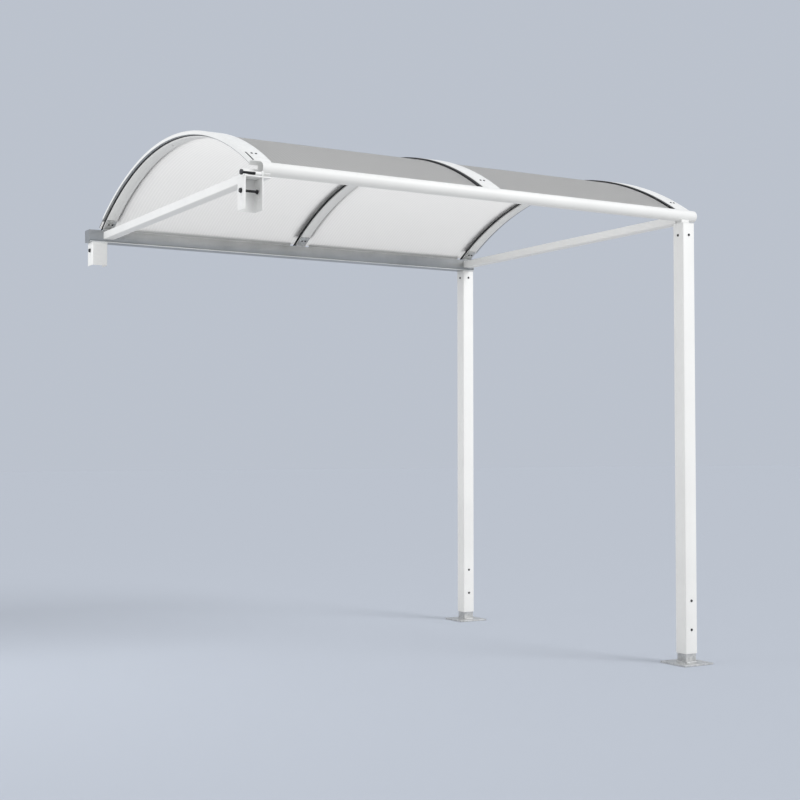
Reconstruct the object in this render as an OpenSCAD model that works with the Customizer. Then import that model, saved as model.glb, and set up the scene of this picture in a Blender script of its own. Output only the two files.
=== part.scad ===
// Add-on bay of a waiting shelter: two posts at the right-hand end, two U brackets at the
// left-hand end that take the posts of the bay beside it, and a barrel roof of two
// multiwall sheets held down by three straps.
// The origin is the middle of the front base plate's underside. X runs along the front
// tube, Y runs back, Z is up.

/* [Overall] */
// Middle of the neighbour's post to the middle of this bay's own post
bay_length = 2540; // [2100:10:3200]
// Middle of the front post to the middle of the rear post
bay_depth = 2150; // [1700:10:2700]
// Ground to the underside of the cross tubes
head_height = 2352; // [2000:1:2700]
// Rise of the ribs' inner face above the front tube's axis
rise = 312; // [220:1:420]

/* [Posts] */
// Outside width of the square posts
post_w = 80; // [60:1:110]
// Wall of the posts
post_wall = 4; // [3:0.5:6]
// Wall of the sleeves inside the posts
sleeve_wall = 4; // [3:0.5:6]
// Length of the base sleeves above the plates
base_sleeve_l = 390; // [300:10:500]
// Length of the head sleeves
head_sleeve_l = 120; // [100:5:200]
// Thickness of the head plates
head_plate_t = 3; // [2:0.5:8]
// Gap between base plate and post end, where the sleeve shows
post_gap = 47; // [20:1:80]
// Height of the lower post screws above the plate
low_screw_z = 173; // [120:1:200]
// Spacing of the lower post screws
low_screw_step = 153; // [60:1:160]
// Distance of the upper post screws below the cross tubes
top_screw_drop = 65; // [45:1:80]

/* [Base plates] */
// Side of the square base plates
plate_w = 195; // [160:1:240]
// Thickness of the base plates
plate_t = 10; // [8:1:20]
// Spacing of the anchor holes
anchor_step = 145; // [120:1:150]
// Radius of the anchor holes
anchor_r = 7; // [5:0.5:10]

/* [Front tube] */
// Outside diameter of the front tube
tube_d = 63.5; // [50:0.5:80]
// Wall of the front tube
tube_wall = 3; // [2:0.5:5]
// Gap between the tube's saddle and the bracket plate under it
saddle_lift = 5.95; // [2:0.05:20]
// How far the tube starts left of the middle of the left-hand rib
tube_start = 4; // [0:1:20]
// How far the tube runs past the middle of the post
tube_over = 61; // [45:1:120]
// Length of the tube's end cap outside the tube
tube_cap_t = 12; // [6:0.5:20]
// Radius of the end cap's rounded rim
tube_cap_r = 10; // [2:0.5:12]
// Length of the end cap's plug
tube_plug_l = 15; // [8:1:30]

/* [Cross tubes] */
// Width of the cross tubes
cross_w = 60; // [40:1:80]
// Height of the cross tubes
cross_h = 44; // [30:1:60]
// Wall of the cross tubes
cross_wall = 3; // [2:0.5:4]

/* [Rear rail] */
// Depth of the gutter rail
rail_d = 80; // [70:1:110]
// Height of the gutter rail
rail_h = 70; // [60:1:90]
// Wall of the gutter rail
rail_wall = 3; // [2:0.5:5]
// Height of the rail's top above the front tube's axis
rail_lift = 10; // [5:1:15]
// How far the lip along the bottom stands forward
lip_d = 5; // [3:0.5:10]
// Height of that lip
lip_h = 5; // [3:0.5:10]
// How far the rail runs past the middle of the neighbour's post
rail_over = 60; // [50:1:80]
// Thickness of the rail's end caps
rail_cap_t = 3; // [2:0.5:6]

/* [Roof] */
// Middle of the right-hand rib, left of the middle of the post
rib_inset = 8; // [0:1:10]
// Middle of the left-hand rib, right of the middle of the neighbour's post
rib_lead = 52; // [52:1:70]
// Width of the ribs
rib_w = 60; // [40:1:80]
// Thickness of the ribs
rib_t = 8; // [5:0.5:12]
// Width of the lower seals
low_seal_w = 84; // [70:1:94]
// Thickness of the lower seals
low_seal_t = 2; // [1.5:0.5:4]
// Thickness of the multiwall sheets
sheet_t = 10; // [6:1:16]
// Gap between the two sheets under the middle strap
sheet_gap = 12; // [8:1:14]
// How far a sheet runs past the middle of an end rib
sheet_edge = 46; // [40:1:46]
// Thickness of the upper seals
top_seal_t = 3; // [2:0.5:6]
// Width of the middle strap's seal, which shows on both sides of it
top_seal_w = 128; // [110:1:140]
// Width of the straps
strap_w = 100; // [100:1:120]
// Thickness of the straps
strap_t = 6; // [4:0.5:8]
// Thickness of the end straps' side lips
strap_lip_t = 3; // [2:0.5:3]
// How far the rear end of the straps stays in front of the rear post's middle
strap_stop = 74; // [70:1:120]
// How far the rear end of the sheets stays in front of the rear post's middle
sheet_stop = 10; // [5:1:20]
// How far the rear end of the ribs stays in front of the rear post's middle
rib_stop = 20; // [15:1:24]

/* [Rib feet and screws] */
// Thickness of the rib feet
foot_t = 5; // [4:0.5:8]
// Front end of the rib feet, in front of the rear post's middle
foot_reach = 100; // [90:1:140]
// Depth of the feet's lower leg in the gutter
foot_leg = 54; // [30:1:60]
// Spacing of the screws of a pair
pair_step = 21; // [16:1:30]
// Radius of the shanks of strap and foot screws
screw_r = 3; // [2:0.25:4]
// Radius of the heads of strap and foot screws
screw_head_r = 5.5; // [4.5:0.25:8]
// Height of the heads of strap and foot screws
screw_head_h = 3; // [2:0.25:5]
// Distance behind the tube's axis of the front strap screws
front_pair_y = 80; // [60:1:120]
// Distance in front of the rear post's middle of the rear strap screws
rear_pair_y = 118; // [112:1:160]
// Distance in front of the rear post's middle of the foot screws
foot_pair_y = 72; // [60:1:80]
// Radius of the post screws
post_screw_r = 4; // [3:0.25:6]
// Radius of the post screws' heads
post_screw_head_r = 7; // [6:0.25:10]
// Height of the post screws' heads
post_screw_head_h = 4; // [3:0.25:6]

/* [Brackets for the neighbour] */
// Wall of the U brackets
bracket_wall = 4; // [3:0.5:8]
// Play between a U bracket and the neighbour's post, in all
bracket_play = 1; // [0.5:0.5:4]
// Height of the bracket's lower end below the cross tubes
bracket_drop = 152; // [120:1:200]
// Thickness of the plates on top of the brackets
bracket_plate_t = 6; // [4:0.5:10]
// Radius of the bracket bolt's hole
bracket_bolt_r = 6.5; // [4.5:0.5:8]
// Radius of the two small holes under it
bracket_pin_r = 3.5; // [2.5:0.25:4]
// Distance of the upper small hole below the bolt
pin_drop_a = 22; // [16:1:26]
// Distance of the lower small hole below the bolt
pin_drop_b = 38; // [32:1:44]
// Wall of the tube saddle
saddle_wall = 4; // [3:0.5:6]
// Length of the tube saddle left of the tube's end
saddle_free = 68; // [50:1:80]
// Length of the tube saddle under the tube
saddle_held = 40; // [20:1:60]
// Width of the cradle blocks, along the tube
cradle_w = 50; // [30:1:60]
// Depth of the cradle blocks
cradle_d = 44; // [30:1:48]
// Thickness of the coupling lug
lug_t = 6; // [4:0.5:8]
// Radius of the coupling lug's hole
lug_hole_r = 6.5; // [4.5:0.5:7]
// Distance of the lug's hole in front of the tube's axis
lug_hole_y = 30; // [28:1:34]
// Height of the lug's hole above the bracket plate
lug_hole_z = 11; // [10:1:14]
// Material around the lug's hole
lug_rim = 5; // [4:0.5:8]

/* [Clearance] */
// Gap between pieces that seat on a curved face or slide into each other
seat = 0.3; // [0.1:0.1:0.5]
// Play of a screw in its hole, on the radius
screw_play = 0.2; // [0.1:0.1:0.5]

/* [Hidden] */

$fn = 48;
arc_fn = 360;
tube_fn = 96;
over = 1;
// how far the post screws' tips stand inside the sleeves
tip = 2;

paint = [0.93, 0.93, 0.92];
galvanised = [0.66, 0.67, 0.68];
aluminium = [0.72, 0.73, 0.73];
rubber = [0.08, 0.08, 0.08];
sheet_tint = [0.82, 0.84, 0.83, 0.7];
steel = [0.3, 0.3, 0.31];

// heights
tube_r = tube_d / 2;
saddle_in = tube_r + seat;
saddle_out = saddle_in + saddle_wall;
tube_lift = saddle_out + saddle_lift;
tube_z = head_height + tube_lift;
rail_top = tube_z + rail_lift;
rail_bottom = rail_top - rail_h;
post_bottom = plate_t + post_gap;
front_post_top = head_height - head_plate_t;
rear_post_top = rail_bottom - head_plate_t;
top_screw_z = head_height - top_screw_drop;
bracket_bottom = head_height - bracket_drop;

// places along X
neighbour_x = -bay_length;
right_rib_x = -rib_inset;
left_rib_x = neighbour_x + rib_lead;
middle_rib_x = (left_rib_x + right_rib_x) / 2;
rib_places = [left_rib_x, middle_rib_x, right_rib_x];
rail_left = neighbour_x - rail_over;
rail_right = post_w / 2;
tube_left = left_rib_x - tube_start;
tube_right = tube_over;

// places along Y
rear_y = bay_depth;
rail_front = rear_y - rail_d / 2;
rail_rear = rear_y + rail_d / 2;

// the ribs' inner face is an arc through the front tube's axis
half_depth = bay_depth / 2;
arc_r = (half_depth * half_depth + rise * rise) / (2 * rise);
arc_z = tube_z + rise - arc_r;
rib_r = arc_r + rib_t;
low_seal_in = rib_r + seat;
low_seal_r = low_seal_in + low_seal_t;
sheet_in = low_seal_r + seat;
sheet_r = sheet_in + sheet_t;
top_seal_in = sheet_r + seat;
top_seal_r = top_seal_in + top_seal_t;
strap_in = top_seal_r + seat;
strap_r = strap_in + strap_t;
foot_out = arc_r - seat;
foot_r = foot_out - foot_t;
// the bands run this far past the tube's axis, where they are already within the tube
cope_y = tube_r / 4;
// the cradle blocks reach half-way up the lower half of the tube
cradle_h = tube_lift - tube_r / 2;
// the feet's legs are cut out of everything between this radius and the ribs
leg_in_r = arc_r / 2;

// sleeves
sleeve_w = post_w - 2 * post_wall - 2 * seat;

// brackets
socket_w = post_w + bracket_play;
bracket_w = socket_w + 2 * bracket_wall;

// angle from the arc's top at which a circle of radius r reaches the place y
function arc_angle(r, y) = asin((y - half_depth) / r);

// ring sector around the arc's axis, from radius r0 to r1, between the places y0 and y1
module arc_band(r0, r1, x0, x1, y0, y1) {
    a0 = arc_angle(r1, y0);
    a1 = arc_angle(r1, y1);
    reach = 2 * r1;
    translate([x0, half_depth, arc_z])
        rotate([90, 0, 90])
            linear_extrude(x1 - x0)
                intersection() {
                    difference() {
                        circle(r1, $fn = arc_fn);
                        circle(r0, $fn = arc_fn);
                    }
                    polygon([
                        [0, 0],
                        [reach * sin(a0), reach * cos(a0)],
                        [0, 2 * reach],
                        [reach * sin(a1), reach * cos(a1)]
                    ]);
                }
}

// round bar along X around the front tube's axis
module tube_axis_bar(r, x0, x1) {
    translate([x0, 0, tube_z])
        rotate([0, 90, 0])
            cylinder(r = r, h = x1 - x0, $fn = tube_fn);
}

// band whose front end is coped to the front tube
module coped_band(r0, r1, x0, x1, y1) {
    difference() {
        arc_band(r0, r1, x0, x1, -cope_y, y1);
        tube_axis_bar(tube_r + seat, x0 - over, x1 + over);
    }
}

// bar that stands square on the arc at the place y, from radius r0 to r1
module radial_bar(x, y, r_ref, r0, r1, r_bar) {
    translate([x, half_depth, arc_z])
        rotate([-arc_angle(r_ref, y), 0, 0])
            translate([0, 0, r0])
                cylinder(r = r_bar, h = r1 - r0);
}

// one bar at each strap screw of the rib at x
module strap_screw_bars(x, r0, r1, r_bar) {
    for (dx = [-pair_step / 2, pair_step / 2], y = [front_pair_y, rear_y - rear_pair_y])
        radial_bar(x + dx, y, strap_r, r0, r1, r_bar);
}

// one bar at each foot screw of the rib at x
module foot_screw_bars(x, r0, r1, r_bar) {
    for (dx = [-pair_step / 2, pair_step / 2])
        radial_bar(x + dx, rear_y - foot_pair_y, arc_r, r0, r1, r_bar);
}

// square tube standing on z0, centred on the place y
module square_tube(w, wall, y, z0, z1) {
    translate([0, y, z0])
        linear_extrude(z1 - z0)
            difference() {
                square(w, center = true);
                square(w - 2 * wall, center = true);
            }
}

// bars at the screws of the post at y: two low ones in the front face, and one at the
// top in the front face and in the left-hand face
module post_screw_bars(y, inner, outer, r_bar) {
    for (z = [plate_t + low_screw_z, plate_t + low_screw_z + low_screw_step, top_screw_z])
        translate([0, y - outer, z])
            rotate([-90, 0, 0])
                cylinder(r = r_bar, h = outer - inner);
    translate([-outer, y, top_screw_z])
        rotate([0, 90, 0])
            cylinder(r = r_bar, h = outer - inner);
}

module post_screw_holes(y) {
    post_screw_bars(y, post_w / 2 - post_wall - sleeve_wall - 2 * seat - over,
        post_w / 2 + over, post_screw_r + screw_play);
}

module base_plate(y) {
    color(galvanised)
        difference() {
            translate([-plate_w / 2, y - plate_w / 2, 0])
                cube([plate_w, plate_w, plate_t]);
            for (dx = [-1, 1], dy = [-1, 1])
                translate([dx * anchor_step / 2, y + dy * anchor_step / 2, -over])
                    cylinder(r = anchor_r, h = plate_t + 2 * over);
        }
}

module base_sleeve(y) {
    color(galvanised)
        difference() {
            square_tube(sleeve_w, sleeve_wall, y, plate_t, plate_t + base_sleeve_l);
            post_screw_holes(y);
        }
}

module post(y, top) {
    color(paint)
        difference() {
            square_tube(post_w, post_wall, y, post_bottom, top);
            post_screw_holes(y);
        }
}

module head(y, top) {
    color(paint)
        difference() {
            union() {
                translate([-post_w / 2, y - post_w / 2, top])
                    cube([post_w, post_w, head_plate_t]);
                square_tube(sleeve_w, sleeve_wall, y, top - head_sleeve_l, top);
            }
            post_screw_holes(y);
        }
}

module post_screws() {
    shank_in = post_w / 2 - post_wall - sleeve_wall - seat - tip;
    color(steel)
        for (y = [0, rear_y]) {
            post_screw_bars(y, shank_in, post_w / 2, post_screw_r);
            post_screw_bars(y, post_w / 2, post_w / 2 + post_screw_head_h, post_screw_head_r);
        }
}

// block that carries a round bar of radius r above the cross tubes' underside
module cradle(x, r) {
    difference() {
        translate([x - cradle_w / 2, -cradle_d / 2, head_height])
            cube([cradle_w, cradle_d, cradle_h]);
        tube_axis_bar(r + seat, x - cradle_w, x + cradle_w);
    }
}

module tube_cradles() {
    color(paint) {
        cradle(right_rib_x, tube_r);
        cradle(tube_left - saddle_free + cradle_w / 2, saddle_out);
    }
}

module front_tube() {
    color(paint)
        difference() {
            tube_axis_bar(tube_r, tube_left, tube_right);
            tube_axis_bar(tube_r - tube_wall, tube_left - over, tube_right + over);
        }
}

// plug inside the tube, and a head with a rounded rim
module front_tube_cap() {
    plug_r = tube_r - tube_wall - seat;
    color(paint)
        translate([tube_right, 0, tube_z])
            rotate([0, 90, 0])
                rotate_extrude($fn = tube_fn)
                    union() {
                        translate([0, -tube_plug_l])
                            square([plug_r, tube_plug_l]);
                        square([tube_r, tube_cap_t - tube_cap_r]);
                        square([tube_r - tube_cap_r, tube_cap_t]);
                        intersection() {
                            square([tube_r, tube_cap_t]);
                            translate([tube_r - tube_cap_r, tube_cap_t - tube_cap_r])
                                circle(tube_cap_r);
                        }
                    }
}

// the gutter's section, front face at 0
module rail_outline() {
    difference() {
        square([rail_d, rail_h]);
        translate([rail_wall, rail_wall])
            square([rail_d - 2 * rail_wall, rail_h]);
    }
    translate([-lip_d, 0])
        square([lip_d, lip_h]);
}

module rear_rail() {
    color(aluminium)
        translate([rail_left, rail_front, rail_bottom])
            rotate([90, 0, 90])
                linear_extrude(rail_right - rail_left)
                    rail_outline();
}

module rail_end_caps() {
    color(aluminium)
        for (x = [rail_left - rail_cap_t, rail_right])
            translate([x, rail_front, rail_bottom])
                cube([rail_cap_t, rail_d, rail_h]);
}

// cross tube from the front tube, which it is coped to at radius r, to the rail
module cross_tube(x, r) {
    color(paint)
        difference() {
            translate([x - cross_w / 2, 0, head_height])
                rotate([90, 0, 0])
                    translate([0, 0, -rail_front])
                        linear_extrude(rail_front - cradle_d / 2)
                            difference() {
                                square([cross_w, cross_h]);
                                translate([cross_wall, cross_wall])
                                    square([cross_w - 2 * cross_wall, cross_h - 2 * cross_wall]);
                            }
            tube_axis_bar(r + seat, x - cross_w, x + cross_w);
        }
}

module rib(x) {
    color(paint)
        difference() {
            coped_band(arc_r, rib_r, x - rib_w / 2, x + rib_w / 2, rear_y - rib_stop);
            strap_screw_bars(x, arc_r - over, rib_r + over, screw_r + screw_play);
            foot_screw_bars(x, arc_r - over, rib_r + over, screw_r + screw_play);
        }
}

module lower_seal(x) {
    color(rubber)
        difference() {
            coped_band(low_seal_in, low_seal_r, x - low_seal_w / 2, x + low_seal_w / 2,
                rear_y - sheet_stop);
            strap_screw_bars(x, rib_r, low_seal_r + over, screw_r + screw_play);
        }
}

module sheet(x0, x1) {
    color(sheet_tint)
        difference() {
            coped_band(sheet_in, sheet_r, x0, x1, rear_y - sheet_stop);
            for (x = rib_places)
                strap_screw_bars(x, low_seal_r, sheet_r + over, screw_r + screw_play);
        }
}

// seal between sheet and strap, from x0 to x1, over the rib at x
module upper_seal(x, x0, x1) {
    color(rubber)
        difference() {
            coped_band(top_seal_in, top_seal_r, x0, x1, rear_y - strap_stop);
            strap_screw_bars(x, sheet_r, top_seal_r + over, screw_r + screw_play);
        }
}

// strap over the rib at x; side is -1 or 1 for the side that has a lip, 0 for none
module strap(x, side) {
    lip_x = x + side * strap_w / 2 - (side > 0 ? strap_lip_t : 0);
    color(paint)
        difference() {
            union() {
                coped_band(strap_in, strap_r, x - strap_w / 2, x + strap_w / 2,
                    rear_y - strap_stop);
                if (side != 0)
                    coped_band(sheet_in, strap_r, lip_x, lip_x + strap_lip_t,
                        rear_y - strap_stop);
            }
            strap_screw_bars(x, top_seal_r, strap_r + over, screw_r + screw_play);
        }
}

module rib_feet() {
    color(galvanised)
        for (x = rib_places)
            difference() {
                union() {
                    arc_band(foot_r, foot_out, x - rib_w / 2, x + rib_w / 2,
                        rear_y - foot_reach, rail_front + rail_wall + foot_t);
                    // the leg stands on the inside of the gutter's front wall
                    intersection() {
                        translate([x - rib_w / 2, rail_front + rail_wall, rail_top - foot_leg])
                            cube([rib_w, foot_t, foot_leg + rail_h]);
                        arc_band(leg_in_r, foot_out, x - rib_w / 2, x + rib_w / 2,
                            rear_y - foot_reach, rear_y);
                    }
                }
                foot_screw_bars(x, foot_r - over, foot_out + over, screw_r + screw_play);
            }
}

module strap_screws() {
    color(steel)
        for (x = rib_places) {
            strap_screw_bars(x, arc_r, strap_r, screw_r);
            strap_screw_bars(x, strap_r, strap_r + screw_head_h, screw_head_r);
        }
}

module foot_screws() {
    color(steel)
        for (x = rib_places) {
            foot_screw_bars(x, foot_r, rib_r, screw_r);
            foot_screw_bars(x, foot_r - screw_head_h, foot_r, screw_head_r);
        }
}

// U bracket round the neighbour's post at y; way is 1 where the web lies behind the post,
// -1 where it lies in front of it
module bracket(y, way, top) {
    web = post_w / 2 + bracket_play / 2;
    color(paint)
        difference() {
            translate([neighbour_x, y, bracket_bottom])
                linear_extrude(top - bracket_bottom)
                    facing(way)
                        difference() {
                            translate([-bracket_w / 2, -post_w / 2])
                                square([bracket_w, post_w / 2 + web + bracket_wall]);
                            translate([-socket_w / 2, -post_w / 2 - over])
                                square([socket_w, post_w / 2 + over + web]);
                        }
            translate([neighbour_x - bracket_w, y, top_screw_z])
                rotate([0, 90, 0])
                    cylinder(r = bracket_bolt_r, h = 2 * bracket_w);
            for (drop = [pin_drop_a, pin_drop_b])
                translate([neighbour_x - bracket_w, y, top_screw_z - drop])
                    rotate([0, 90, 0])
                        cylinder(r = bracket_pin_r, h = 2 * bracket_w);
        }
}

// mirrors a flat shape in Y where way is -1
module facing(way) {
    if (way < 0)
        mirror([0, 1, 0]) children();
    else
        children();
}

module bracket_plates() {
    web_rear = post_w / 2 + bracket_play / 2 + bracket_wall;
    color(paint) {
        translate([neighbour_x - bracket_w / 2, -post_w / 2, head_height - bracket_plate_t])
            cube([left_rib_x + cross_w / 2 - neighbour_x + bracket_w / 2,
                post_w / 2 + web_rear, bracket_plate_t]);
        translate([neighbour_x - bracket_w / 2, rear_y - web_rear, rail_bottom - bracket_plate_t])
            cube([bracket_w, post_w / 2 + web_rear, bracket_plate_t]);
    }
}

// shell behind and below the tube, which runs on past the tube's end
module tube_saddle() {
    left = tube_left - saddle_free;
    right = tube_left + saddle_held;
    reach = 2 * saddle_out;
    color(paint)
        translate([left, 0, tube_z])
            rotate([90, 0, 90])
                linear_extrude(right - left)
                    intersection() {
                        difference() {
                            circle(saddle_out, $fn = tube_fn);
                            circle(saddle_in, $fn = tube_fn);
                        }
                        polygon([[0, 0], [reach, 0], [reach, -reach], [-reach, -reach]]);
                    }
}

module coupling_lug() {
    x = neighbour_x + bracket_w / 2 - lug_t;
    half = lug_hole_r + lug_rim;
    color(paint)
        difference() {
            translate([x, -lug_hole_y - half, head_height])
                cube([lug_t, 2 * half, lug_hole_z + half]);
            translate([x - over, -lug_hole_y, head_height + lug_hole_z])
                rotate([0, 90, 0])
                    cylinder(r = lug_hole_r, h = lug_t + 2 * over);
            tube_axis_bar(saddle_out + seat, x - over, x + lug_t + over);
        }
}

base_plate(0);  // front_base_plate
base_plate(rear_y);  // rear_base_plate
base_sleeve(0);  // front_base_sleeve
base_sleeve(rear_y);  // rear_base_sleeve
post(0, front_post_top);  // front_post
post(rear_y, rear_post_top);  // rear_post
head(0, front_post_top);  // front_head
head(rear_y, rear_post_top);  // rear_head
post_screws();
tube_cradles();
front_tube();
front_tube_cap();
rear_rail();
rail_end_caps();
cross_tube(right_rib_x, tube_r);  // right_cross_tube
cross_tube(left_rib_x, saddle_out);  // left_cross_tube
rib(left_rib_x);  // left_rib
rib(middle_rib_x);  // middle_rib
rib(right_rib_x);  // right_rib
lower_seal(left_rib_x);  // left_lower_seal
lower_seal(middle_rib_x);  // middle_lower_seal
lower_seal(right_rib_x);  // right_lower_seal
sheet(left_rib_x - sheet_edge, middle_rib_x - sheet_gap / 2);  // left_sheet
sheet(middle_rib_x + sheet_gap / 2, right_rib_x + sheet_edge);  // right_sheet
upper_seal(left_rib_x, left_rib_x - sheet_edge, left_rib_x + top_seal_w / 2);  // left_upper_seal
upper_seal(middle_rib_x, middle_rib_x - top_seal_w / 2, middle_rib_x + top_seal_w / 2);  // middle_upper_seal
upper_seal(right_rib_x, right_rib_x - top_seal_w / 2, right_rib_x + sheet_edge);  // right_upper_seal
strap(left_rib_x, -1);  // left_strap
strap(middle_rib_x, 0);  // middle_strap
strap(right_rib_x, 1);  // right_strap
rib_feet();
strap_screws();
foot_screws();
bracket(0, 1, head_height - bracket_plate_t);  // front_bracket
bracket(rear_y, -1, rail_bottom - bracket_plate_t);  // rear_bracket
bracket_plates();
tube_saddle();
coupling_lug();
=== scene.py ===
"""Looks of an add-on bay of a waiting shelter: two posts at the right-hand end, a front tube
and a gutter rail between them and the bay beside it, and a barrel roof of two multiwall
sheets held down by three straps. Sizes are in metres, in the frame of the CAD model."""

import math

import bpy
from mathutils import Matrix, Vector


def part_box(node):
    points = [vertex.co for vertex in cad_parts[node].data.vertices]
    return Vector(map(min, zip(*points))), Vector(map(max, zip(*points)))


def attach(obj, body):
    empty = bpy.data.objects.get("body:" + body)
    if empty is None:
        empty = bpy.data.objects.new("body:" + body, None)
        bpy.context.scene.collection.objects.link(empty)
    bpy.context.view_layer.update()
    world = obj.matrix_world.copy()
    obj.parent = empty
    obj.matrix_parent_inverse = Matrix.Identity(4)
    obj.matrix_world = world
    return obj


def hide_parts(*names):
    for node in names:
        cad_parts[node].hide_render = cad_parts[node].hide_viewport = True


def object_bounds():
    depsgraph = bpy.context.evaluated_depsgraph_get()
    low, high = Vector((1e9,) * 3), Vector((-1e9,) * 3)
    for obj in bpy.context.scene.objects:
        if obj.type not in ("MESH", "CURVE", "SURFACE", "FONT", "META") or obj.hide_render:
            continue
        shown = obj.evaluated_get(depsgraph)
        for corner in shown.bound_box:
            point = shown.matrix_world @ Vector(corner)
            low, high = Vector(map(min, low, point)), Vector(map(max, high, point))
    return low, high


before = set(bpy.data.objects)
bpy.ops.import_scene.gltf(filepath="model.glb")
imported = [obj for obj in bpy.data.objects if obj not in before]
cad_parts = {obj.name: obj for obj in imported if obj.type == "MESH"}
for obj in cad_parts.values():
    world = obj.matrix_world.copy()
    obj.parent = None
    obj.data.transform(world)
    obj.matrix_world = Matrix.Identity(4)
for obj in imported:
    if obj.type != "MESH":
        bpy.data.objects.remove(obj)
cad_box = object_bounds()
mm = 0.001

# ---------------------------------------------------------------------------------------
# View, floor and light. A camera stands in front of the bay's open left-hand end at chest
# height. A broad soft sun from the front right and an even pale sky light a pale floor, and
# a disk lamp outside the open end lights the roof's left-hand edge.

bpy.ops.object.camera_add(
    location=(-5.0297, -5.5623, 1.1489),
    rotation=(math.radians(91.985), 0, math.radians(-30.379)),
)
camera = bpy.context.object
camera.data.lens = 61.7
camera.data.clip_end = 200
scene = bpy.context.scene
scene.camera = camera
scene.view_settings.view_transform = "Standard"

sky_light = (0.79, 0.795, 0.80, 1)
backdrop = (0.50, 0.54, 0.61, 1)
sun_direction = Vector((-0.42, 0.72, -0.55))

bpy.ops.object.light_add(type="SUN", rotation=sun_direction.to_track_quat("-Z", "Y").to_euler())
sun = bpy.context.object
sun.data.energy = 1.4
sun.data.angle = math.radians(30)

lamp_place = Vector((-5.2, 1.5, 2.75))
lamp_target = Vector((-2.5, 1.1, 2.3))
bpy.ops.object.light_add(type="AREA", location=lamp_place,
                         rotation=(lamp_target - lamp_place).to_track_quat("-Z", "Y").to_euler())
left_lamp = bpy.context.object
left_lamp.data.energy = 32
left_lamp.data.shape = "DISK"
left_lamp.data.size = 1.8
left_lamp.visible_camera = False


def add(tree, kind, sockets=(), **settings):
    """Adds a node, with values or links for its sockets and its own settings."""
    node = tree.nodes.new(kind)
    for key, value in settings.items():
        setattr(node, key, value)
    for key, value in dict(sockets).items():
        if isinstance(value, bpy.types.NodeSocket):
            tree.links.new(value, node.inputs[key])
        else:
            node.inputs[key].default_value = value
    return node


def seen_directly(tree):
    """1 for rays that show a backdrop: from the camera, off metal or through glass. Light that
    a translucent sheet scatters counts as diffuse and takes the studio's own light."""
    path = add(tree, "ShaderNodeLightPath")
    seen = path.outputs["Is Camera Ray"]
    for kind in ("Is Glossy Ray", "Is Transmission Ray"):
        seen = add(tree, "ShaderNodeMath", {0: seen, 1: path.outputs[kind]},
                   operation="MAXIMUM").outputs[0]
    return add(tree, "ShaderNodeMath", {0: seen, 1: path.outputs["Is Diffuse Ray"]},
               operation="SUBTRACT", use_clamp=True).outputs[0]


world = bpy.data.worlds.new("studio")
scene.world = world
world.use_nodes = True
world.node_tree.nodes.clear()
sky = add(world.node_tree, "ShaderNodeMixRGB",
          {0: seen_directly(world.node_tree), 1: sky_light, 2: backdrop})
lit_sky = add(world.node_tree, "ShaderNodeBackground", {"Color": sky.outputs[0]})
add(world.node_tree, "ShaderNodeOutputWorld", {"Surface": lit_sky.outputs[0]})

bpy.ops.mesh.primitive_plane_add(size=120)
floor = bpy.context.object
floor.name = "floor"
floor_paint = bpy.data.materials.new("floor")
floor_paint.use_nodes = True
floor_tree = floor_paint.node_tree
floor_colour = add(floor_tree, "ShaderNodeMixRGB",
                   {0: seen_directly(floor_tree), 1: (0.6, 0.6, 0.6, 1), 2: (0.485, 0.523, 0.591, 1)})
floor_shader = floor_tree.nodes["Principled BSDF"]
floor_shader.inputs["Roughness"].default_value = 0.9
floor_shader.inputs["Specular IOR Level"].default_value = 0.1
floor_tree.links.new(floor_colour.outputs[0], floor_shader.inputs["Base Color"])
floor.data.materials.append(floor_paint)

# ---------------------------------------------------------------------------------------
# Base plates: square hot-dip galvanised plates with four anchor holes near their corners,
# lying on the ground. The zinc shows faint crystals of different greys.

anchor_radius = 7 * mm
anchor_step = 145 * mm
plate_edge = 1.2 * mm
through = Vector((0, 0, 20 * mm))


def fresh(name, add_primitive, **how):
    """Adds one primitive with nothing else selected and keeps its place in its mesh."""
    bpy.ops.object.select_all(action="DESELECT")
    add_primitive(**how)
    piece = bpy.context.object
    piece.name = name
    bpy.ops.object.transform_apply(location=True, rotation=True, scale=True)
    return piece


def block(name, low, high):
    low, high = Vector(low), Vector(high)
    return fresh(name, bpy.ops.mesh.primitive_cube_add, size=1,
                 location=(low + high) / 2, scale=high - low)


def round_bar(name, radius, start, end, sides=32, ends="NGON"):
    start, end = Vector(start), Vector(end)
    along = end - start
    return fresh(name, bpy.ops.mesh.primitive_cylinder_add, radius=radius, depth=along.length,
                 vertices=sides, end_fill_type=ends, location=(start + end) / 2,
                 rotation=along.to_track_quat("Z", "Y").to_euler())


def activate(piece):
    bpy.ops.object.select_all(action="DESELECT")
    bpy.context.view_layer.objects.active = piece
    piece.select_set(True)


def modify(piece, kind, **settings):
    """Adds a modifier and applies it."""
    modifier = piece.modifiers.new(kind.lower(), kind)
    for key, value in settings.items():
        setattr(modifier, key, value)
    activate(piece)
    bpy.ops.object.modifier_apply(modifier=modifier.name)
    return piece


def cut(piece, *tools):
    """Takes the tools' shapes out of the piece and removes the tools."""
    for tool in tools:
        modify(piece, "BOOLEAN", object=tool, operation="DIFFERENCE", solver="EXACT")
        bpy.data.objects.remove(tool)
    return piece


def soften(piece, width, segments=2, angle=35):
    """Rounds the sharp edges and shades what is left of them smooth."""
    modify(piece, "BEVEL", width=width, segments=segments, limit_method="ANGLE",
           angle_limit=math.radians(angle))
    activate(piece)
    bpy.ops.object.shade_smooth_by_angle(angle=math.radians(angle))
    return piece


def join(name, pieces):
    """Joins pieces into one mesh."""
    bpy.ops.object.select_all(action="DESELECT")
    for piece in pieces:
        piece.select_set(True)
    bpy.context.view_layer.objects.active = pieces[0]
    if len(pieces) > 1:
        bpy.ops.object.join()
    joined = bpy.context.view_layer.objects.active
    joined.name = name
    return joined


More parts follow.
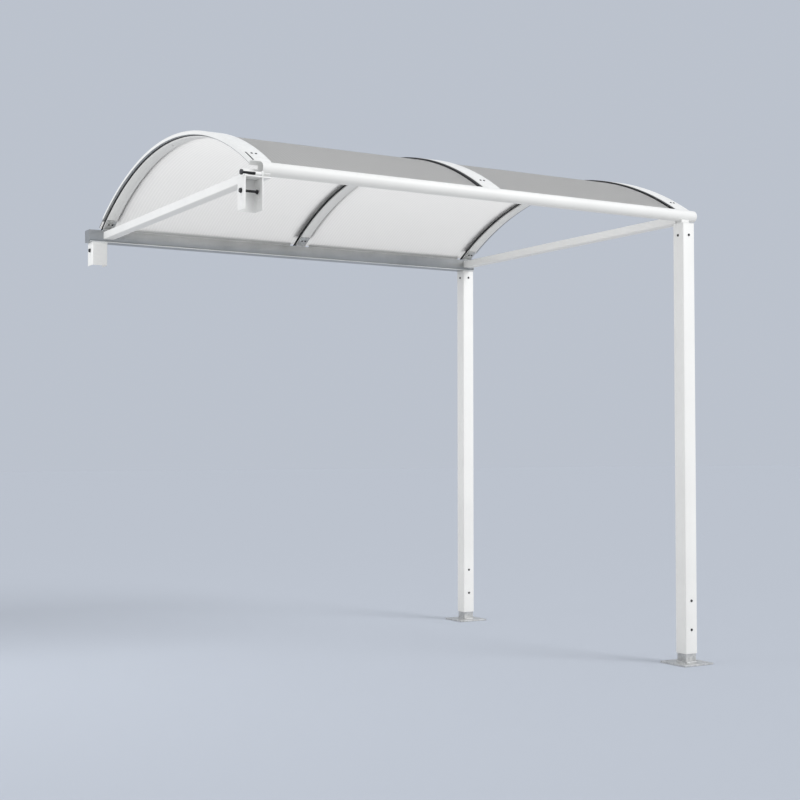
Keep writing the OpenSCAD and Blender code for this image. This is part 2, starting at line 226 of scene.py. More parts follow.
def finished(piece, material, slot, *nodes):
    """Gives a piece its material and its body, and hides the CAD nodes that it stands for. The slot is not
    used.
    """
    if not piece.data.materials:
        piece.data.materials.append(material)
    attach(piece, "root")
    if nodes:
        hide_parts(*nodes)
    return piece


def effect(name, inputs, outputs):
    """An empty shader node group with the named sockets."""
    tree = bpy.data.node_groups.new(name, "ShaderNodeTree")
    for socket, value in inputs.items():
        made = tree.interface.new_socket(socket, in_out="INPUT", socket_type="NodeSocketFloat")
        made.default_value = value
    for socket, kind in outputs.items():
        tree.interface.new_socket(socket, in_out="OUTPUT", socket_type=kind)
    return tree, tree.nodes.new("NodeGroupInput").outputs


# grain: a fine uneven surface, and patches that change slowly over the piece
grain, grain_in = effect("grain", {"Scale": 400, "Depth": 0.0001, "Patch Scale": 6},
                         {"Normal": "NodeSocketVector", "Patches": "NodeSocketFloat"})
grain_place = add(grain, "ShaderNodeTexCoord").outputs["Object"]
grain_noise = add(grain, "ShaderNodeTexNoise",
                  {"Vector": grain_place, "Scale": grain_in["Scale"], "Detail": 3})
grain_bump = add(grain, "ShaderNodeBump",
                 {"Height": grain_noise.outputs[0], "Distance": grain_in["Depth"]})
patch_noise = add(grain, "ShaderNodeTexNoise",
                  {"Vector": grain_place, "Scale": grain_in["Patch Scale"], "Detail": 5,
                   "Roughness": 0.6})
patch_mask = add(grain, "ShaderNodeMapRange",
                 {"Value": patch_noise.outputs[0], "From Min": 0.35, "From Max": 0.65})
add(grain, "NodeGroupOutput",
    {"Normal": grain_bump.outputs[0], "Patches": patch_mask.outputs[0]})

# dust: settles on what faces up, more in some places than in others
dust, dust_in = effect("dust", {"Amount": 0.3}, {"Mask": "NodeSocketFloat"})
facing = add(dust, "ShaderNodeSeparateXYZ", {0: add(dust, "ShaderNodeNewGeometry").outputs["Normal"]})
upward = add(dust, "ShaderNodeMapRange",
             {"Value": facing.outputs["Z"], "From Min": 0.2, "From Max": 1.0})
speck = add(dust, "ShaderNodeTexNoise",
            {"Vector": add(dust, "ShaderNodeTexCoord").outputs["Object"], "Scale": 45,
             "Detail": 8, "Roughness": 0.7})
speck_mask = add(dust, "ShaderNodeMapRange",
                 {"Value": speck.outputs[0], "From Min": 0.42, "From Max": 0.62})
settled = add(dust, "ShaderNodeMath", {0: upward.outputs[0], 1: speck_mask.outputs[0]},
              operation="MULTIPLY")
dust_amount = add(dust, "ShaderNodeMath", {0: settled.outputs[0], 1: dust_in["Amount"]},
                  operation="MULTIPLY")
add(dust, "NodeGroupOutput", {"Mask": dust_amount.outputs[0]})


def placed(tree, group, **values):
    """Places a shader node group in a material with its own values."""
    node = add(tree, "ShaderNodeGroup", node_tree=group)
    for key, value in values.items():
        node.inputs[key.replace("_", " ")].default_value = value
    return node.outputs


def blend(tree, factor, first, second):
    """Mixes two colours."""
    return add(tree, "ShaderNodeMixRGB", {0: factor, 1: first, 2: second}).outputs[0]


def between(tree, factor, low, high):
    """A value from low to high as the factor goes from 0 to 1."""
    return add(tree, "ShaderNodeMapRange", {"Value": factor, "To Min": low, "To Max": high}).outputs[0]


def finish(name, metallic=0.0, coat=0.0):
    """A new material, its node tree and its Principled shader."""
    material = bpy.data.materials.new(name)
    material.use_nodes = True
    shader = material.node_tree.nodes["Principled BSDF"]
    shader.inputs["Metallic"].default_value = metallic
    shader.inputs["Coat Weight"].default_value = coat
    return material, material.node_tree, shader.inputs


def dress(tree, sockets, shade, colours, roughness, normal, dusting=None, rough_shade=None):
    """Wires a Principled shader: two colours mixed by a shade, dust over them where dusting
    gives its amount and colour, a roughness that follows a shade, and the surface's normal."""
    colour = blend(tree, shade, *colours)
    if dusting:
        amount, dust_colour = dusting
        colour = blend(tree, placed(tree, dust, Amount=amount)["Mask"], colour, dust_colour)
    tree.links.new(colour, sockets["Base Color"])
    tree.links.new(between(tree, rough_shade or shade, *roughness), sockets["Roughness"])
    tree.links.new(normal, sockets["Normal"])


galvanised, zinc, zinc_in = finish("galvanised_steel", metallic=0.6)
zinc_grain = placed(zinc, grain, Scale=900, Depth=0.00008, Patch_Scale=9)
crystals = add(zinc, "ShaderNodeTexVoronoi",
               {"Vector": add(zinc, "ShaderNodeTexCoord").outputs["Object"], "Scale": 95})
crystal_shade = add(zinc, "ShaderNodeSeparateColor", {0: crystals.outputs["Color"]}).outputs[0]
dress(zinc, zinc_in, crystal_shade, [(0.52, 0.525, 0.52, 1), (0.70, 0.70, 0.69, 1)], (0.34, 0.52),
      zinc_grain["Normal"], dusting=(0.35, (0.36, 0.34, 0.31, 1)))

for end in ("front", "rear"):
    low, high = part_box(end + "_base_plate")
    middle = (low + high) / 2
    plate = block(end + "_plate", low, high)
    holes = []
    for dx in (-anchor_step / 2, anchor_step / 2):
        for dy in (-anchor_step / 2, anchor_step / 2):
            place = middle + Vector((dx, dy, 0))
            holes.append(round_bar("hole", anchor_radius, place - through, place + through, sides=28))
    cut(plate, *holes)
    soften(plate, plate_edge)
    finished(plate, galvanised, "galvanised_steel", end + "_base_plate")

# ---------------------------------------------------------------------------------------
# Base sleeves: galvanised square tubes welded upright on the plates, which the posts slide
# over. A few centimetres show under each post, with the weld bead round their feet.

sleeve_corner = 5 * mm
sleeve_wall = 4 * mm
bead_size = 5.5 * mm
bead_step = 4 * mm


def edit(piece, kind="FACE"):
    """Opens a piece in edit mode with nothing selected."""
    activate(piece)
    bpy.ops.object.mode_set(mode="EDIT")
    bpy.ops.mesh.select_mode(type=kind)
    bpy.ops.mesh.select_all(action="DESELECT")


def pick(piece, chosen):
    """Selects the faces of an open piece for which chosen(face) holds."""
    bpy.ops.object.mode_set(mode="OBJECT")
    for face in piece.data.polygons:
        face.select = chosen(face)
    bpy.ops.object.mode_set(mode="EDIT")


def pick_edges(piece, chosen):
    """Selects the edges of an open piece for which chosen(start, end) holds."""
    bpy.ops.object.mode_set(mode="OBJECT")
    corners = [v.co.copy() for v in piece.data.vertices]
    for edge in piece.data.edges:
        edge.select = chosen(corners[edge.vertices[0]], corners[edge.vertices[1]])
    bpy.ops.object.mode_set(mode="EDIT")


def done():
    bpy.ops.object.mode_set(mode="OBJECT")


def square_tube(name, low, high, axis, wall, corner, rim=0.5 * mm):
    """Rolled square tube along an axis (0, 1 or 2), with round corners and open ends."""
    tube = block(name, low, high)
    across = [i for i in range(3) if i != axis]
    edit(tube, "EDGE")
    pick_edges(tube, lambda a, b: all(abs(a[i] - b[i]) < 1e-6 for i in across))
    bpy.ops.mesh.bevel(offset=corner, segments=5, affect="EDGES")
    bpy.ops.mesh.select_mode(type="FACE")
    pick(tube, lambda face: abs(face.normal[axis]) > 0.9)
    bpy.ops.mesh.delete(type="FACE")
    done()
    modify(tube, "SOLIDIFY", thickness=wall, offset=-1, use_even_offset=True)
    return soften(tube, rim, angle=50)


def weld(name, start, end):
    """A weld bead: overlapping flat drops from start to end."""
    start, end = Vector(start), Vector(end)
    count = max(2, round((end - start).length / bead_step))
    bead = fresh(name, bpy.ops.mesh.primitive_uv_sphere_add, segments=10, ring_count=6,
                 radius=bead_size, location=start)
    modify(bead, "ARRAY", use_relative_offset=False, use_constant_offset=True,
           constant_offset_displace=(end - start) / count, count=count + 1)
    bpy.ops.object.shade_smooth()
    return bead


for end in ("front", "rear"):
    low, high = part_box(end + "_base_sleeve")
    sleeve = square_tube(end + "_sleeve", low, high, 2, sleeve_wall, sleeve_corner)
    finished(sleeve, galvanised, "galvanised_steel", end + "_base_sleeve")
    foot = low.z + 1 * mm
    corners = [(low.x, low.y), (high.x, low.y), (high.x, high.y), (low.x, high.y)]
    sides = [weld("bead", (*a, foot), (*b, foot)) for a, b in zip(corners, corners[1:] + corners[:1])]
    bead = join(end + "_sleeve_weld", sides)
    finished(bead, galvanised, "galvanised_steel")

# ---------------------------------------------------------------------------------------
# Posts: square tubes with a white powder coat, slid over the base sleeves and screwed to
# them, and closed by head plates with sleeves of their own.

post_corner = 6 * mm
post_wall = 4 * mm
seat = 0.3 * mm

white, paint, paint_in = finish("white_powder_coat")
paint_grain = placed(paint, grain, Scale=650, Depth=0.00012, Patch_Scale=3)
dress(paint, paint_in, paint_grain["Patches"], [(0.84, 0.845, 0.84, 1), (0.875, 0.88, 0.875, 1)],
      (0.42, 0.50), paint_grain["Normal"], dusting=(0.22, (0.55, 0.53, 0.49, 1)))

for end in ("front", "rear"):
    low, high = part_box(end + "_post")
    post = square_tube(end + "_post_tube", low, high, 2, post_wall, post_corner)
    finished(post, white, "painted_steel", end + "_post")

    head_low, head_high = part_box(end + "_head")
    cap = block(end + "_head_plate", (head_low.x, head_low.y, high.z), head_high)
    soften(cap, 0.8 * mm)
    inset = Vector((post_wall + seat, post_wall + seat, 0))
    inner = square_tube("inner", Vector((low.x, low.y, head_low.z)) + inset, high - inset, 2,
                        sleeve_wall, sleeve_corner)
    finished(join(end + "_head_cap", [cap, inner]), white, "painted_steel", end + "_head")

# ---------------------------------------------------------------------------------------
# Post screws: dark plated button-head screws with hexagon sockets, two low in the front
# face of each post, and one near the top in its front and in its left-hand face.

screw_low_z = (183 * mm, 336 * mm)
screw_head = {"radius": 7 * mm, "height": 4 * mm, "socket": 2.6 * mm}

plated, plating, plating_in = finish("dark_plated_steel", metallic=0.8)
plating_grain = placed(plating, grain, Scale=1500, Depth=0.00005, Patch_Scale=60)
dress(plating, plating_in, plating_grain["Patches"],
      [(0.035, 0.035, 0.037, 1), (0.07, 0.07, 0.072, 1)], (0.3, 0.45), plating_grain["Normal"])


def button_head(radius, height, socket):
    """A button head standing on the origin along Z, with a hexagon socket and a washer face."""
    head = round_bar("screw", radius, (0, 0, 0), (0, 0, height), sides=28)
    edit(head)
    pick(head, lambda face: face.normal.z > 0.9)
    bpy.ops.mesh.bevel(offset=height * 0.75, segments=4, affect="EDGES")
    done()
    key = round_bar("key", socket, (0, 0, height * 0.35), (0, 0, height * 2), sides=6)
    cut(head, key)
    bpy.ops.object.shade_smooth_by_angle(angle=math.radians(30))
    return head


def standing(place, direction):
    """The matrix that stands a piece from the origin on a place, with its Z along direction."""
    turn = Vector(direction).normalized().to_track_quat("Z", "Y").to_matrix().to_4x4()
    return Matrix.Translation(place) @ turn


def copies(name, master, places):
    """Copies of a piece, each with its own mesh, joined; the master goes away."""
    made = []
    for place in places:
        copy = master.copy()
        copy.data = master.data.copy()
        copy.data.transform(place)
        bpy.context.collection.objects.link(copy)
        made.append(copy)
    bpy.data.objects.remove(master)
    return join(name, made)


places = []
for end in ("front", "rear"):
    low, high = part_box(end + "_post")
    middle = (low + high) / 2
    top_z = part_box("post_screws")[1].z - screw_head["radius"]
    for z in (*screw_low_z, top_z):
        places.append(standing((middle.x, low.y, z), (0, -1, 0)))
    places.append(standing((low.x, middle.y, top_z), (-1, 0, 0)))
screws = copies("post_button_screws", button_head(**screw_head), places)
finished(screws, plated, "screw_steel", "post_screws")

# ---------------------------------------------------------------------------------------
# Front tube: a round painted tube along the front edge, open at its left-hand end where
# the next bay's tube meets it, and closed by a domed cap past the right-hand post. It lies
# in two cradle blocks welded on the post and on the bracket.

tube_wall = 3 * mm
tube_sides = 96
cap_rim = 10 * mm
over = 100 * mm

tube_low, tube_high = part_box("front_tube")
tube_r = (tube_high.z - tube_low.z) / 2
tube_z = (tube_high.z + tube_low.z) / 2


def tube_axis(x):
    return Vector((x, 0, tube_z))


def tube_bore(radius, x0, x1):
    """A cutter round the front tube's axis that runs past both places on X."""
    return round_bar("bore", radius, tube_axis(x0 - over), tube_axis(x1 + over), sides=tube_sides)


tube = round_bar("front_round_tube", tube_r, tube_axis(tube_low.x), tube_axis(tube_high.x),
                 sides=tube_sides, ends="NOTHING")
modify(tube, "SOLIDIFY", thickness=tube_wall, offset=-1)
soften(tube, 0.6 * mm, angle=50)
finished(tube, white, "painted_steel", "front_tube")

cap_low, cap_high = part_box("front_tube_cap")
cap = round_bar("tube_end_cap", tube_r, tube_axis(tube_high.x), tube_axis(cap_high.x), sides=tube_sides)
edit(cap)
pick(cap, lambda face: face.normal.x > 0.9)
bpy.ops.mesh.bevel(offset=cap_rim, segments=7, affect="EDGES")
pick(cap, lambda face: face.normal.x < -0.9)
bpy.ops.mesh.inset(thickness=tube_wall + seat)
bpy.ops.mesh.extrude_region_move(
    TRANSFORM_OT_translate={"value": (cap_low.x - tube_high.x, 0, 0)})
done()
bpy.ops.object.shade_smooth_by_angle(angle=math.radians(35))
finished(cap, white, "painted_steel", "front_tube_cap")

saddle_low, saddle_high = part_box("tube_saddle")
saddle_out = tube_z - saddle_low.z
cradle_low, cradle_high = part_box("tube_cradles")
cradle_w = 50 * mm
for side, x0, held_r in (("left", cradle_low.x, saddle_out),
                         ("right", cradle_high.x - cradle_w, tube_r)):
    cradle = block(side + "_cradle", (x0, cradle_low.y, cradle_low.z),
                   (x0 + cradle_w, cradle_high.y, cradle_high.z))
    cut(cradle, tube_bore(held_r + seat, x0, x0 + cradle_w))
    soften(cradle, 1 * mm)
    finished(cradle, white, "painted_steel", *(["tube_cradles"] if side == "left" else []))

# ---------------------------------------------------------------------------------------
# Rear rail: an extruded aluminium gutter, mill finished, open at the top, with a drip lip
# along the bottom of its front and a groove over the lip. Flat plates close its ends.

rail_low, rail_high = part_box("rear_rail")
rail_lip = 5 * mm
rail_wall = 3 * mm
rail_cap_edge = 0.5 * mm
groove_top = 11 * mm
groove_depth = 4 * mm
bead_width = 7 * mm
bead_height = 2.5 * mm
rail_front = rail_low.y + rail_lip


def turn_outward():
    """Turns every face of the open piece outward and leaves edit mode."""
    bpy.ops.mesh.select_all(action="SELECT")
    bpy.ops.mesh.normals_make_consistent(inside=False)
    done()


def extrusion(name, outline, x0, x1):
    """A bar along X with an outline of (y, z) points."""
    bar = fresh(name, bpy.ops.mesh.primitive_circle_add, vertices=len(outline), fill_type="NGON")
    for vertex, (y, z) in zip(bar.data.vertices, outline):
        vertex.co = (x0, y, z)
    edit(bar)
    bpy.ops.mesh.select_all(action="SELECT")
    bpy.ops.mesh.extrude_region_move(TRANSFORM_OT_translate={"value": (x1 - x0, 0, 0)})
    turn_outward()
    return bar


mill, rolled_metal, mill_in = finish("mill_aluminium", metallic=0.9)
mill_grain = placed(rolled_metal, grain, Scale=1200, Depth=0.00003, Patch_Scale=5)
drawn = add(rolled_metal, "ShaderNodeMapping",
            {"Vector": add(rolled_metal, "ShaderNodeTexCoord").outputs["Object"], "Scale": (1.5, 420, 420)})
die_lines = add(rolled_metal, "ShaderNodeTexNoise", {"Vector": drawn.outputs[0], "Scale": 1, "Detail": 4})
die_bump = add(rolled_metal, "ShaderNodeBump",
               {"Height": die_lines.outputs[0], "Distance": 0.00006, "Normal": mill_grain["Normal"]})
dress(rolled_metal, mill_in, mill_grain["Patches"], [(0.40, 0.405, 0.40, 1), (0.48, 0.485, 0.48, 1)],
      (0.3, 0.5), die_bump.outputs[0], dusting=(0.5, (0.33, 0.32, 0.29, 1)),
      rough_shade=die_lines.outputs[0])

# The drip lip takes a much lighter copy of the gutter's aluminium: a painted highlight for the light that
# the lip catches.
lip_painted_highlight, lip_painted_lit, lip_painted_lit_in = finish("drip_lip_painted_highlight", metallic=0.5)
lip_painted_lit_grain = placed(lip_painted_lit, grain, Scale=900, Depth=0.00003, Patch_Scale=8)
dress(lip_painted_lit, lip_painted_lit_in, lip_painted_lit_grain["Patches"], [(0.74, 0.75, 0.74, 1), (0.80, 0.81, 0.80, 1)],
      (0.35, 0.45), lip_painted_lit_grain["Normal"])

front, back = rail_front, rail_high.y
bottom, top = rail_low.z, rail_high.z
inner_front, inner_back = front + rail_wall, back - rail_wall
step = inner_front + groove_depth
rail = extrusion("gutter_rail", [
    (rail_low.y, bottom), (back, bottom), (back, top), (back - bead_width, top),
    (back - bead_width, top - bead_height), (inner_back, top - bead_height),
    (inner_back, bottom + rail_wall), (step, bottom + rail_wall),
    (step, bottom + groove_top + rail_wall), (inner_front, bottom + groove_top + rail_wall),
    (inner_front, top - bead_height), (front + bead_width, top - bead_height),
    (front + bead_width, top), (front, top), (front, bottom + groove_top),
    (front + groove_depth, bottom + groove_top), (front + groove_depth, bottom + rail_lip),
    (rail_low.y, bottom + rail_lip)], rail_low.x, rail_high.x)
soften(rail, 0.5 * mm)
rail.data.materials.append(mill)
rail.data.materials.append(lip_painted_highlight)
# The drip lip's faces take the lighter material, the painted highlight.
for face in rail.data.polygons:
    if face.center.y < rail_front - 1 * mm:
        face.material_index = 1
finished(rail, mill, "gutter_aluminium", "rear_rail")

end_low, end_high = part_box("rail_end_caps")
plates = []
for x0, x1 in ((end_low.x, rail_low.x), (rail_high.x, end_high.x)):
    plate = block("end", (x0, end_low.y, end_low.z), (x1, end_high.y, end_high.z))
    edit(plate, "EDGE")
    pick_edges(plate, lambda a, b: abs(a.x - b.x) > 1e-6)
    bpy.ops.mesh.bevel(offset=2 * mm, segments=3, affect="EDGES")
    done()
    plates.append(soften(plate, rail_cap_edge))
finished(join("gutter_end_plates", plates), mill, "gutter_aluminium", "rail_end_caps")

# ---------------------------------------------------------------------------------------
# Cross tubes: painted rectangular tubes from front to back over the post and the bracket,
# shaped to the front tube at one end and welded to the gutter rail at the other.

cross_wall = 3 * mm
cross_corner = 5 * mm

for side, held_r in (("left", saddle_out), ("right", tube_r)):
    low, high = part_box(side + "_cross_tube")
    cross = square_tube(side + "_cross_beam", low, high, 1, cross_wall, cross_corner)
    cut(cross, tube_bore(held_r + seat, low.x, high.x))
    bpy.ops.object.shade_smooth_by_angle(angle=math.radians(35))
    finished(cross, white, "painted_steel", side + "_cross_tube")

# ---------------------------------------------------------------------------------------
# Ribs: flat steel bars rolled to the roof's arc, painted white, which run from the front
# tube to the gutter and carry the sheets. The left-hand one has a hole near its top.

rib_t = 8 * mm
rib_edge = 1 * mm
layers = {"low_seal": 2 * mm, "sheet": 10 * mm, "top_seal": 3 * mm, "strap": 6 * mm}
arc_steps = 72

rear_low, rear_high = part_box("rear_post")
half_depth = (rear_low.y + rear_high.y) / 4
strap_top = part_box("middle_strap")[1].z
stack = rib_t + sum(layers.values()) + seat * len(layers)
rise = strap_top - stack - tube_z
arc_r = (half_depth ** 2 + rise ** 2) / (2 * rise)
arc_z = tube_z + rise - arc_r
rib_r = arc_r + rib_t
inner_r = {}
outer_r = {}
reach = rib_r
for layer, thickness in layers.items():
    inner_r[layer] = reach + seat
    reach = inner_r[layer] + thickness
    outer_r[layer] = reach


def arc_angle(radius, y):
    """Angle from the arc's top at which a circle of that radius reaches the place y."""
    return math.asin((y - half_depth) / radius)


def on_arc(x, radius, angle):
    return Vector((x, half_depth + radius * math.sin(angle), arc_z + radius * math.cos(angle)))


def spin_round_arc(piece, first, last, steps=arc_steps):
    """Sweeps a piece's flat section from one angle of the arc to another."""
    edit(piece)
    bpy.ops.mesh.select_all(action="SELECT")
    bpy.ops.mesh.spin(steps=steps, angle=last - first, center=(0, half_depth, arc_z), axis=(1, 0, 0))
    bpy.ops.mesh.select_all(action="SELECT")
    bpy.ops.mesh.remove_doubles(threshold=1e-6)
    turn_outward()
    return piece


def rolled(name, outline, y0, y1):
    """A bar rolled to the arc, with an outline of (x, radius) points, from y0 to y1."""
    top_r = max(radius for x, radius in outline)
    first, last = arc_angle(top_r, y0), arc_angle(top_r, y1)
    bar = fresh(name, bpy.ops.mesh.primitive_circle_add, vertices=len(outline), fill_type="NGON")
    for vertex, (x, radius) in zip(bar.data.vertices, outline):
        vertex.co = on_arc(x, radius, first)
    return spin_round_arc(bar, first, last)


def cope(piece, radius):
    """Shapes the front end of a piece to the front tube."""
    along = [vertex.co.x for vertex in piece.data.vertices]
    return cut(piece, tube_bore(radius, min(along), max(along)))


cope_y = -tube_r / 4
nose_t = 4 * mm
end_cope = {"left": tube_r + seat + nose_t, "middle": tube_r + seat, "right": tube_r + seat}
hole_y = 1090 * mm
hole_radius = 5 * mm
for side in ("left", "middle", "right"):
    low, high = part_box(side + "_rib")
    outline = [(low.x, arc_r), (high.x, arc_r), (high.x, rib_r), (low.x, rib_r)]
    rib = cope(rolled(side + "_rib_bar", outline, cope_y, high.y), end_cope[side])
    if side == "left":
        middle, angle = (low.x + high.x) / 2, arc_angle(arc_r, hole_y)
        cut(rib, round_bar("drill", hole_radius, on_arc(middle, arc_r - through.z, angle),
                           on_arc(middle, rib_r + through.z, angle), sides=20))
    soften(rib, rib_edge)
    finished(rib, white, "painted_steel", side + "_rib")

# ---------------------------------------------------------------------------------------
# Lower seals: black rubber strips between the ribs and the sheets, with a square bead that
# hangs over the left-hand edge of each rib. Their right-hand edges end on the ribs.

rubber, gum, gum_in = finish("black_rubber")
gum_grain = placed(gum, grain, Scale=1800, Depth=0.00015, Patch_Scale=14)
dress(gum, gum_in, gum_grain["Patches"], [(0.009, 0.009, 0.010, 1), (0.02, 0.02, 0.021, 1)],
      (0.5, 0.68), gum_grain["Normal"], dusting=(0.35, (0.12, 0.115, 0.105, 1)))

low_bead = 4.5 * mm
low_bead_w = 5 * mm
end_seal_reach = 6.5 * mm
seal_stop = 8 * mm
for side in ("left", "middle", "right"):
    low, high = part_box(side + "_lower_seal")
    rib_low, rib_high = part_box(side + "_rib")
    base, top = inner_r["low_seal"], outer_r["low_seal"]
    drop = top - low_bead
    left_x = rib_low.x - end_seal_reach if side == "left" else low.x
    right_x = rib_high.x - seal_stop
    outline = [(left_x, drop), (left_x + low_bead_w, drop), (left_x + low_bead_w, base),
               (right_x, base), (right_x, top), (left_x, top)]
    seal = cope(rolled(side + "_rib_seal", outline, cope_y, high.y), end_cope[side])
    soften(seal, 0.7 * mm)
    finished(seal, rubber, "seal_rubber", side + "_lower_seal")

# ---------------------------------------------------------------------------------------
# Sheets: opal polycarbonate multiwall sheets bent over the ribs, two thin skins joined by
# webs that run from front to back, 19 mm apart, which show as fine lighter stripes.

flute_pitch = 18.85 * mm
skin_t = 0.5 * mm
let_through = 0.92


# flutes: 1 along the webs of a sheet, which start at a place on X and repeat at a pitch
flutes, flutes_in = effect("flutes", {"Start": 0.0, "Pitch": 0.02}, {"Mask": "NodeSocketFloat"})
across = add(flutes, "ShaderNodeSeparateXYZ", {0: add(flutes, "ShaderNodeTexCoord").outputs["Object"]})
from_start = add(flutes, "ShaderNodeMath", {0: across.outputs["X"], 1: flutes_in["Start"]},
                 operation="SUBTRACT")
in_pitches = add(flutes, "ShaderNodeMath", {0: from_start.outputs[0], 1: flutes_in["Pitch"]},
                 operation="DIVIDE")
part = add(flutes, "ShaderNodeMath", {0: in_pitches.outputs[0]}, operation="FRACT")
off_middle = add(flutes, "ShaderNodeMath", {0: part.outputs[0], 1: 0.5}, operation="SUBTRACT")
from_middle = add(flutes, "ShaderNodeMath", {0: off_middle.outputs[0]}, operation="ABSOLUTE")
near_web = add(flutes, "ShaderNodeMapRange",
               {"Value": from_middle.outputs[0], "From Min": 0.28, "From Max": 0.46})
add(flutes, "NodeGroupOutput", {"Mask": near_web.outputs[0]})


def opal(name, colour, outside_painted_shade, roughness, start, pitch):
    """A polycarbonate skin that shows a colour and lets most of the light through. Light
    that leaves by its outer side is dimmed by a painted shade, which darkens the outside."""
    material, tree, sockets = finish(name)
    wall_grain = placed(tree, grain, Scale=300, Depth=0.00005, Patch_Scale=2.5)
    webs = placed(tree, flutes, Start=start, Pitch=pitch)["Mask"]
    between_webs = blend(tree, wall_grain["Patches"], (*(c * 0.93 for c in colour), 1),
                         (*(c * 0.90 for c in colour), 1))
    body = blend(tree, webs, between_webs, (*colour, 1))
    wall_dust = placed(tree, dust, Amount=0.12)
    tree.links.new(blend(tree, wall_dust["Mask"], body, (0.45, 0.44, 0.40, 1)), sockets["Base Color"])
    tree.links.new(between(tree, wall_grain["Patches"], roughness, roughness + 0.1), sockets["Roughness"])
    tree.links.new(wall_grain["Normal"], sockets["Normal"])
    from_inside = add(tree, "ShaderNodeNewGeometry").outputs["Backfacing"]
    shown = blend(tree, webs, (outside_painted_shade * 0.94, outside_painted_shade * 0.94, outside_painted_shade * 0.94, 1), (outside_painted_shade, outside_painted_shade, outside_painted_shade, 1))
    passed = blend(tree, from_inside, shown, (1, 1, 1, 1))
    glow = add(tree, "ShaderNodeBsdfTranslucent", {"Color": passed})
    mixed = add(tree, "ShaderNodeMixShader",
                {0: let_through, 1: tree.nodes["Principled BSDF"].outputs[0], 2: glow.outputs[0]})
    tree.links.new(mixed.outputs[0], tree.nodes["Material Output"].inputs["Surface"])
    return material


clear_walls, walls, walls_in = finish("clear_cell_walls")
walls_grain = placed(walls, grain, Scale=300, Depth=0.00005, Patch_Scale=2.5)
walls.links.new(blend(walls, walls_grain["Patches"], (0.9, 0.9, 0.9, 1), (0.95, 0.95, 0.95, 1)),
                walls_in["Base Color"])
walls_in["Alpha"].default_value = 0.12


for side in ("left", "right"):
    low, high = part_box(side + "_sheet")
    base, top = inner_r["sheet"], outer_r["sheet"]
    first, last = arc_angle(top, cope_y), arc_angle(top, high.y)
    cells = round((high.x - low.x) / flute_pitch)
    pitch = (high.x - low.x) / cells
    inner_skin = opal(side + "_opal_inner_skin", (0.92, 0.92, 0.915), 1.0, 0.35, low.x, pitch)
    # The outer skin's dark grey, which also covers the sheet's cut edges, and the dimming of the light that
    # leaves by its outer side are painted shade: they make the sheet's outside look darker than its
    # underside.
    outer_skin = opal(side + "_opal_outer_skin", (0.36, 0.365, 0.36), 0.62, 0.35, low.x, pitch)
    sheet = fresh(side + "_multiwall", bpy.ops.mesh.primitive_grid_add,
                  x_subdivisions=cells, y_subdivisions=1, size=1)
    for vertex in sheet.data.vertices:
        x = low.x + (vertex.co.x + 0.5) * (high.x - low.x)
        vertex.co = on_arc(x, base + (vertex.co.y + 0.5) * (top - base), first)
    edit(sheet)
    bpy.ops.mesh.select_all(action="SELECT")
    bpy.ops.mesh.inset(thickness=skin_t, use_individual=True)
    bpy.ops.mesh.delete(type="FACE")
    done()
    cope(spin_round_arc(sheet, first, last), end_cope[side])
    for material in (inner_skin, outer_skin, clear_walls):
        sheet.data.materials.append(material)
    for face in sheet.data.polygons:
        radius = math.hypot(face.center.y - half_depth, face.center.z - arc_z)
        at_edge = min(abs(face.center.x - low.x), abs(face.center.x - high.x)) < 1e-5
        if at_edge or radius > top - 0.2 * mm:
            face.material_index = 1
        elif radius < base + 0.2 * mm:
            face.material_index = 0
        else:
            face.material_index = 2
    activate(sheet)
    bpy.ops.object.shade_smooth_by_angle(angle=math.radians(30))
    finished(sheet, outer_skin, "multiwall_sheet", side + "_sheet")

# ---------------------------------------------------------------------------------------
# Sheet end profiles: white coated aluminium U channels that close the open flutes at the
# sheets' rear edges, between the straps, with a drip leg that hangs into the gutter.

channel_t = 1.2 * mm
channel_leg = 16 * mm
channel_gap = 0.1 * mm
drip_depth = 5 * mm

sheet_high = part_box("left_sheet")[1]
base, top = inner_r["sheet"] - channel_gap, outer_r["sheet"] + channel_gap
end_angle = arc_angle(outer_r["sheet"], sheet_high.y)
lip_angle = end_angle - channel_leg / top
inside_angle = end_angle + channel_gap / top
outside_angle = inside_angle + channel_t / top
channel = [on_arc(0, radius, angle) for radius, angle in (
    (top, lip_angle), (top + channel_t, lip_angle), (top + channel_t, outside_angle),
    (base - channel_t, outside_angle), (base - channel_t, lip_angle), (base, lip_angle),
    (base, inside_angle), (top, inside_angle))]
under_end = channel[3]
drip_z = rail_high.z - drip_depth
drip = [(under_end.y - channel_t, under_end.z - channel_t / 2), (under_end.y - channel_t, drip_z),
        (under_end.y, drip_z), (under_end.y, under_end.z)]
outline = [(p.y, p.z) for p in channel[:3]] + drip[::-1] + [(p.y, p.z) for p in channel[4:]]
for side, start_node, end_node in (("left", "left_upper_seal", "middle_upper_seal"),
                                   ("right", "middle_upper_seal", "right_upper_seal")):
    x0, x1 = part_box(start_node)[1].x + 1 * mm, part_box(end_node)[0].x - 1 * mm
    profile = soften(extrusion(side + "_sheet_end_profile", outline, x0, x1), 0.3 * mm)
    finished(profile, white, "gutter_aluminium")

# ---------------------------------------------------------------------------------------
# Upper seals: thick black rubber strips between the sheets and the straps. Left of the
# middle and right-hand straps they swell into a raised edge, a dark band along the strap.

